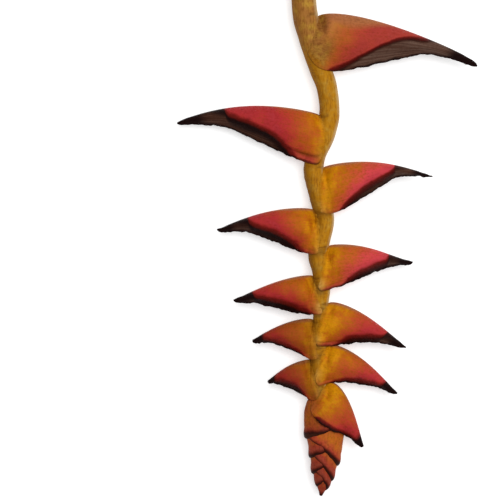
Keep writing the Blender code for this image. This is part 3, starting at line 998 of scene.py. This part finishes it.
# %% Material of the bud
YOUNG_RAMP = [(0.0, srgb(186, 106, 26)), (0.35, srgb(180, 84, 40)), (0.65, srgb(166, 62, 44)),
              (1.2, srgb(148, 76, 60))]
YOUNG_DRIED = [(-3.6, srgb(146, 52, 38)), (-1.3, srgb(100, 34, 22)), (0.4, srgb(46, 18, 11)),
               (2, srgb(58, 30, 20))]


def paint_bud(tree, streak, speck):
    wander = wandering(tree, streak, 0.005, 1.5)
    skin = ramp(tree, add(tree, mask(tree, "ripe"), wander, RIPE_WANDER), 0, 1.2, YOUNG_RAMP)
    # Painted shade over the whole sleeve, partly a browner skin.
    skin = cover(tree, skin, "shade_and_brown", SHADE_BROWN)
    edge = add(tree, mask(tree, "edge"), wander, 1.4)
    dried = ramp(tree, edge, -3.6, 2, YOUNG_DRIED)
    return mix_colour(tree, eased(tree, edge, -3.6, -0.3), skin, dried)


BUD_SKIN = living_skin(
    "bud skin", [(0.6, srgb(176, 170, 166)), (1, srgb(240, 240, 240))], 0.5, paint_bud,
    Length=3, Count=60, Seed=8)


# %% Make the young bracts
class YoungBract(NamedTuple):
    margin: float  # y of its margin on the bud's axis
    slant: float  # how much lower the margin is at the right side
    dark_left: float  # how wide the dark margin is at the left side
    dark_right: float
    ripe: float
    # Painted shade and partly a browner skin: how much darker the sleeve is.
    shade_and_brown: float


YOUNG_BRACTS = [
    YoungBract(-174.2, -4.9, 4.2, 0.2, 0.62, 0.45),
    YoungBract(-188.5, 11, 0.5, 1.9, 0.62, 0.05),
    YoungBract(-188.5, -5, 2, 0.5, 1, 0.3),
    YoungBract(-200.5, 10.5, 0.5, 1.6, 0.95, 0.15),
    YoungBract(-200, -5.5, 1.7, 0.5, 1.1, 0.35),
    YoungBract(-210, 8, 0.4, 1.3, 1.1, 0.25),
    YoungBract(-211.5, -4, 1.4, 0.5, 1.15, 0.4),
    YoungBract(-221.3, 0, 1, 1, 1, 0.4),
]
TOP_STEP, YOUNG_STEP = 0.8, 0.45  # how much lower and how much further in each one starts
OUTSET = 0.3  # how far the first one lies outside the bud's outline
PUFF, PUFF_LENGTH = 0.8, 9.0
RIM_THIN, RIM_LENGTH = 0.5, 0.5
CAP_INSET, CAP_SINK = 0.6, 0.5
SLEEVE_ALONG, SLEEVE_AROUND = 80, 96


def place_young(index):
    young = YOUNG_BRACTS[index]
    top = BUD_OUTLINE[0][0] - TOP_STEP * index

    def place(along, around):
        turn = around * 2 * math.pi
        end = young.margin - young.slant * np.cos(turn)
        end = end + 0.5 * waver(turn * 4, turn * 0, 1.0, index + 0.5) * np.abs(np.sin(turn))
        y = top + (end - top) * along
        above = y - end

        # The side that shows puffs out above the margin, and the margin thins to an edge.
        facing = -np.sign(young.slant) * np.cos(turn)
        showing = 0.1 + 0.9 * smoothstep(0.4, -0.2, facing)
        puffed = PUFF * np.sin(math.pi * np.clip(above / PUFF_LENGTH, 0, 1) ** 0.6) * showing
        inset = YOUNG_STEP * index - puffed + RIM_THIN * np.exp(-above / RIM_LENGTH) - OUTSET
        left, right, thick = bud_at(y)
        reach = (right - left) / 2
        uneven = 1 + 0.02 * waver(np.cos(turn) * 9, y, 5.0, index * 3.0)
        size = (1 - np.minimum(inset / reach, 0.5)) * uneven
        x = (left + right) / 2 + reach * size * np.cos(turn)
        height = AXIS_HEIGHT + thick * size * np.sin(turn)
        rightwards = smoothstep(-0.9, 0.4, np.cos(turn))
        dark = young.dark_left + (young.dark_right - young.dark_left) * rightwards
        ripe = young.ripe * (0.3 + 0.7 * smoothstep(1.4 * PUFF_LENGTH, 1.0, above))
        masks = {"edge": dark - above, "ripe": ripe, "shade_and_brown": young.shade_and_brown}
        return np.column_stack([x, y, height]), masks

    return place


def make_young(index):
    bm = unit_grid(SLEEVE_ALONG, SLEEVE_AROUND)
    lay_out(bm, place_young(index))
    ends = close_tube(bm)
    bmesh.ops.inset_region(bm, faces=ends, thickness=CAP_INSET * MM, depth=-CAP_SINK * MM)
    bmesh.ops.poke(bm, faces=ends)
    bmesh.ops.recalc_face_normals(bm, faces=bm.faces)
    young = finish_piece(f"young_bract_{index + 1}", bm, BUD_SKIN)
    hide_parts("terminal_bud")
    return young


sleeves = [make_young(index) for index in range(len(YOUNG_BRACTS))]
print("young bracts:", len(sleeves))

# %% [markdown]
# ## Table, light and camera
#
# The flower lies on a plain white table under a large soft lamp from above and beyond it, with a
# pale surround that fills the shadows. The table glows a little, to come out white. The camera
# looks straight down from two metres through a long lens, so there is almost no perspective.

# %% Stage
PHOTO_PIXEL = 0.75  # millimetres of the object to one pixel
FRAME_PIXELS = 500
FRAME_CENTRE = (-58.1, -37.5)
CAMERA_HEIGHT = 2000.0
SENSOR = 36.0
TABLE_HALF = 4.0  # metres
TABLE_GREY, TABLE_GLOW = 0.75, 0.45
LAMP_PLACE, LAMP_SIZE, LAMP_POWER = (0.6, 0.5, 2.3), 2.0, 52  # metres and watts
SURROUND = 0.42


def make_table():
    material, _, inputs = new_material("white table", 0.9, specular=0.1)
    inputs["Base Color"].default_value = (TABLE_GREY, TABLE_GREY, TABLE_GREY, 1)
    inputs["Emission Color"].default_value = WHITE
    inputs["Emission Strength"].default_value = TABLE_GLOW
    bm = bmesh.new()
    bmesh.ops.create_grid(bm, x_segments=1, y_segments=1, size=TABLE_HALF)
    table = new_object("table", bm, material)


def add_lamp():
    lamp = bpy.data.lights.new("key", "AREA")
    lamp.shape = "SQUARE"
    lamp.size = LAMP_SIZE
    lamp.energy = LAMP_POWER
    made = link("key", lamp)
    made.location = LAMP_PLACE
    made.rotation_euler = (-Vector(LAMP_PLACE)).to_track_quat("-Z", "Y").to_euler()


def add_camera():
    camera = bpy.data.cameras.new("camera")
    camera.sensor_width = SENSOR
    camera.lens = SENSOR * (CAMERA_HEIGHT - AXIS_HEIGHT) / (FRAME_PIXELS * PHOTO_PIXEL)
    made = link("camera", camera)
    made.location = (FRAME_CENTRE[0] * MM, FRAME_CENTRE[1] * MM, CAMERA_HEIGHT * MM)
    bpy.context.scene.camera = made


def add_surround():
    world = bpy.data.worlds.new("surround")
    world.use_nodes = True
    background = world.node_tree.nodes["Background"].inputs
    background["Color"].default_value = WHITE
    background["Strength"].default_value = SURROUND
    bpy.context.scene.world = world


make_table()
add_lamp()
add_camera()
add_surround()
bpy.context.scene.view_settings.view_transform = "Standard"
